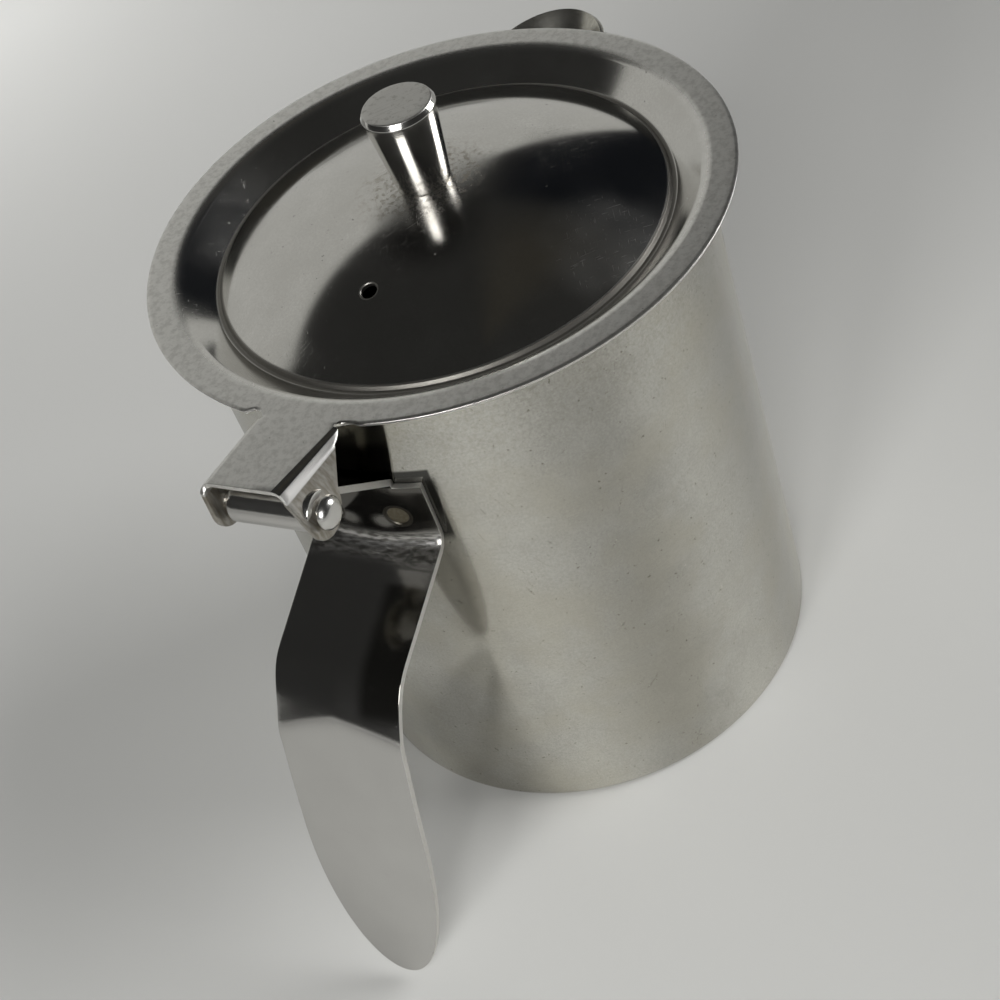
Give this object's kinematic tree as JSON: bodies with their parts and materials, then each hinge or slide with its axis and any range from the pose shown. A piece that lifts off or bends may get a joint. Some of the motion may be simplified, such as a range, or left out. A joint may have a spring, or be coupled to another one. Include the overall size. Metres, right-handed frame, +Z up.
{
  "type": "syrup dispenser",
  "caption": "Steel syrup pourer with a straight drawn cup, a formed spout, a domed hinged lid with a tapered knob, and a bent strip handle.",
  "frame": {"origin": "centre of the underside of the cup, on the surface that it stands on", "axes": "+Z up along the cup's axis, +X towards the spout, -X towards the hinge and the handle, Y along the hinge pin"},
  "size_m": [0.1207, 0.084, 0.1051],
  "materials": {
    "satin_steel": "satin stainless steel with a fine, faintly mottled grain",
    "lid_steel": "stainless steel, polished on the dome and satin on the flange",
    "polished_steel": "polished stainless steel strip with plain sheared edges",
    "bright_steel": "bright turned stainless steel",
    "weld_steel": "stainless steel tinted brown by the heat of the weld"
  },
  "bodies": {
    "pot": {"body": "satin_steel", "handle": "polished_steel", "weld_plugs": "weld_steel"},
    "lid": {"lid": "lid_steel", "knob": "bright_steel", "knob_washer": "bright_steel", "knob_screw": "bright_steel", "hinge_pin": "bright_steel"}
  },
  "joints": [
    {"name": "lid_hinge", "type": "hinge", "parent": "pot", "child": "lid", "pos_m": [-0.0515, 0, 0.0832], "axis": [0, -1, 0], "range_deg": [0, 203]}
  ]
}
